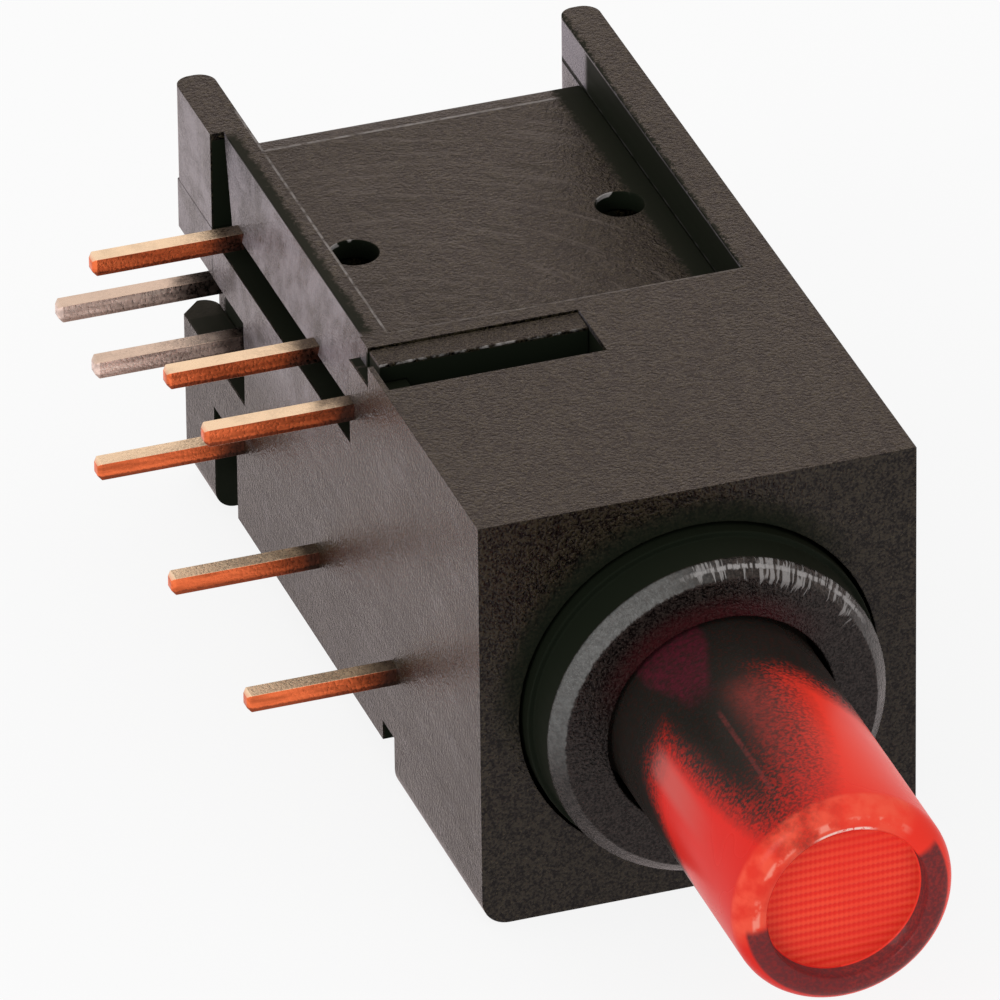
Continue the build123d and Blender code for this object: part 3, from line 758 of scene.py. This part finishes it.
def turned_tip(n, skin, y, far, angle, speckle, dots):
    """Tip: painted pale highlight on the turned edge above, painted dark ring below the disc,
    ribbed disc with painted highlights on its crests, and a painted glint.
    """
    x, _, z = n.place()
    tip = n.ramp(y, -8.55, -8.70)
    upper = near_turn(n, angle, TIP_TOP, 78.0, 62.0)
    streaky = n.noise(2.2, detail=4)
    # Painted highlight along the upper turned edge, and a paler lip
    band = both(n, n.ramp(far, DISC_R, DISC_R + 0.06), upper, tip)
    skin = n.mix(both(n, band, n.ramp(streaky, 0.35, 0.65, 0.25, 0.8)), skin, TIP_HIGHLIGHT)
    lip = both(n, near(n, far, 2.0, 0.10, 0.04), upper, tip)
    skin = n.mix(both(n, lip, n.ramp(streaky, 0.5, 0.62), 0.55), skin, TIP_LIP_HIGHLIGHT)
    # Painted shade: a dark maroon ring below the disc
    ring = both(n, n.ramp(far, 2.24, 2.17), n.ramp(far, DISC_R - 0.02, DISC_R - 0.01))
    ring = both(n, ring, near_turn(n, angle, TIP_BOTTOM, 104.0, 98.0), n.ramp(y, -8.62, -8.64))
    skin = n.mix(both(n, ring, n.ramp(dots, 0.3, 0.65, 0.85, 1.0)), skin, MAROON_SHADE)
    # Disc: painted highlights on the crests of the small ribs
    front = both(n, n.ramp(far, DISC_R - 0.01, DISC_R - 0.03), n.ramp(y, -8.5, -8.55))
    turn_z = 2 * math.pi / RIB_PITCH
    turn_x = 2 * math.pi / RIB_ACROSS
    across = n.math("SINE", n.math("MULTIPLY", n.math("SUBTRACT", z, AXIS_Z), turn_z))
    down_ribs = n.math("SINE", n.math("MULTIPLY", n.math("SUBTRACT", x, AXIS_X), turn_x))
    crest = n.math("ADD", n.math("MULTIPLY", across, 0.7), n.math("MULTIPLY", down_ribs, 0.3))
    soft = n.ramp(n.noise(0.8, detail=2), 0.3, 0.7, 0.55, 1.0)
    disc = n.mix(both(n, n.ramp(crest, -0.8, 0.8), soft), DISC_LOW, DISC_CREST_HIGHLIGHT)
    skin = n.mix(front, skin, disc)
    glint = both(n, near(n, far, DISC_R + 0.06, 0.06, 0.02), tip)
    glint = both(n, glint, near_turn(n, angle, GLINT_AT, 24.0, 14.0), n.ramp(speckle, 0.38, 0.5))
    return n.mix(glint, skin, TIP_GLINT)


def lens_material():
    """Red lens: painted lighter to the right, with the painted dark of its hollow, its turned tip,
    and a faint painted glow.
    """
    made, n = material("red_lens")
    x, y, z = n.place()
    far, angle = polar(n, x, z)
    speckle = n.noise(7, detail=4, roughness=0.75)
    flow = n.noise(0.45, detail=2)
    dots = n.noise(13, detail=2, roughness=0.6)
    # Painted light: the side turned to the right is a brighter red
    skin = n.mix(n.ramp(angle, 120.0, 70.0), RED, LIT_RED)
    skin = n.mix(n.ramp(flow, 0.4, 0.7, 0.0, 0.3), skin, RED)
    skin = hollow_painted_shade(n, skin, y, angle, speckle, dots)
    skin = patch_line_and_gleam(n, skin, y, angle, speckle, dots)
    skin = turned_tip(n, skin, y, far, angle, speckle, dots)
    shader = n.add(
        "ShaderNodeBsdfPrincipled",
        Base_Color=skin,
        Roughness=n.ramp(flow, 0.3, 0.7, 0.24, 0.30),
        IOR=LENS_IOR,
    )
    # Painted glow: the lens gives off a little light of its own painted colour, though no lamp is
    # lit in it
    n.put(shader, "Emission Color", skin)
    shader.inputs["Emission Strength"].default_value = PAINTED_GLOW_STRENGTH
    finish_surface(n, shader)
    return made


red_lens = lens_material()

lens_piece = turned_piece("lens_cap", lens_profile(), LENS_TURNS, ribs)
lens_piece.data.materials.append(red_lens)
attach(lens_piece, "button")
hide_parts("lens")

looks = {
    "housing": housing_skin,
    "contact_carrier": carrier_skin,
    "collar": collar_skin,
    "slider": slider_skin,
    "lens": red_lens,
    "led_body": diode_resin,
    "led_chip": chip_skin,
    "led_lead_cathode": plated_pin,
    "led_lead_anode": plated_pin,
    "return_spring": spring_metal,
    "upper_contact_spring": spring_metal,
    "lower_contact_spring": spring_metal,
    "upper_contact_bridge": strip_metal,
    "lower_contact_bridge": strip_metal,
}
for name, node in nodes.items():
    skin = looks.get(name, copper_pin)
    node.data.materials.clear()
    node.data.materials.append(skin)


# Rounded edges: points closer than this are one, and angles in degrees of flat and sharp
WELD_WITHIN = 0.0001
FLAT_WITHIN = 0.5
SHARP_FROM = 34


def soften(node, width):
    """Slightly rounded edges, as any moulded or stamped piece has."""
    weld = node.modifiers.new("weld", "WELD")
    weld.merge_threshold = WELD_WITHIN * MM
    merge = node.modifiers.new("merge", "DECIMATE")
    merge.decimate_type = "DISSOLVE"
    merge.angle_limit = math.radians(FLAT_WITHIN)
    bevel = node.modifiers.new("edges", "BEVEL")
    bevel.width = width * MM
    bevel.segments = 2
    bevel.limit_method = "ANGLE"
    bevel.angle_limit = math.radians(SHARP_FROM)
    bevel.use_clamp_overlap = False
    even = node.modifiers.new("even", "WEIGHTED_NORMAL")
    even.keep_sharp = False
    even.weight = 60


EDGES = {"contact_carrier": 0.025, "collar": 0.03}
PIN_EDGE = 0.012
for name, width in EDGES.items():
    soften(nodes[name], width)
for name, node in nodes.items():
    if "terminal" in name or "lead" in name:
        soften(node, PIN_EDGE)


def shown_by(n, light_path):
    """1 for rays that show the floor or the room: seen, mirrored, or through a clear piece."""
    kinds = ("Is Camera Ray", "Is Glossy Ray", "Is Transmission Ray")
    return either(n, *[light_path[kind] for kind in kinds])


# Floor: pale, white to the camera and in reflections, with the object's shadow left on it
FLOOR_HALF = 1.5
WHITE = (1, 1, 1, 1)
FLOOR_GREY = (0.88, 0.88, 0.88, 1)
FLOOR_MIRRORED = (0.93, 0.79, 0.776, 1)
FLOOR_GLOW = 0.86
floor_mesh = bpy.data.meshes.new("floor")
signs = ((-1, -1), (1, -1), (1, 1), (-1, 1))
corners = [(sign_x * FLOOR_HALF, sign_y * FLOOR_HALF, 0) for sign_x, sign_y in signs]
floor_mesh.from_pydata(corners, [], [(0, 1, 2, 3)])
floor = bpy.data.objects.new("floor", floor_mesh)
scene.collection.objects.link(floor)
floor_skin, n = material("floor_skin")
light_path = n.add("ShaderNodeLightPath").outputs
seen = shown_by(n, light_path)
matt = n.add("ShaderNodeBsdfDiffuse", Color=FLOOR_GREY)
tinted = n.mix(light_path["Is Glossy Ray"], WHITE, FLOOR_MIRRORED)
glow = n.add("ShaderNodeEmission", Color=tinted, Strength=1.0)
mixed = n.add("ShaderNodeMixShader")
n.put(mixed, "#0", n.math("MULTIPLY", seen, FLOOR_GLOW))
n.put(mixed, "#1", matt.outputs[0])
n.put(mixed, "#2", glow.outputs[0])
finish_surface(n, mixed)
floor_mesh.materials.append(floor_skin)

# World: an even pale room, warmer and dimmer overhead where only reflections see it
ROOM_LOW = (0.95, 0.80, 0.74, 1)
ROOM_HIGH = (0.93, 0.72, 0.62, 1)
ROOM_LIGHT = 0.75
world = bpy.data.worlds.new("room")
scene.world = world
world.use_nodes = True
n = Nodes(world.node_tree)
light_path = n.add("ShaderNodeLightPath").outputs
toward = n.add("ShaderNodeTexCoord").outputs["Generated"]
rise = n.add("ShaderNodeSeparateXYZ", Vector=toward).outputs["Z"]
overhead = n.mix(n.ramp(rise, 0.05, 0.45), ROOM_LOW, ROOM_HIGH)
pure = n.mix(light_path["Is Glossy Ray"], WHITE, overhead)
seen = shown_by(n, light_path)
room = n.add("ShaderNodeBackground", Color=pure, Strength=n.ramp(seen, 0, 1, ROOM_LIGHT, 1.0))
world_out = n.add("ShaderNodeOutputWorld")
n.tree.links.new(room.outputs[0], world_out.inputs["Surface"])

# Key lamp: a broad disc in front, on the left, above the object
KEY_PLACE = Vector((-0.45, -0.36, 0.32))
KEY_AIM = Vector((0, 0, 0.005))
KEY_SIZE = 0.32
KEY_POWER = 1.1
key_data = bpy.data.lights.new("key", "AREA")
key_data.shape = "DISK"
key_data.size = KEY_SIZE
key_data.energy = KEY_POWER
key = bpy.data.objects.new("key", key_data)
key.location = KEY_PLACE
key.rotation_mode = "QUATERNION"
key.rotation_quaternion = (KEY_PLACE - KEY_AIM).to_track_quat("Z", "Y")
scene.collection.objects.link(key)
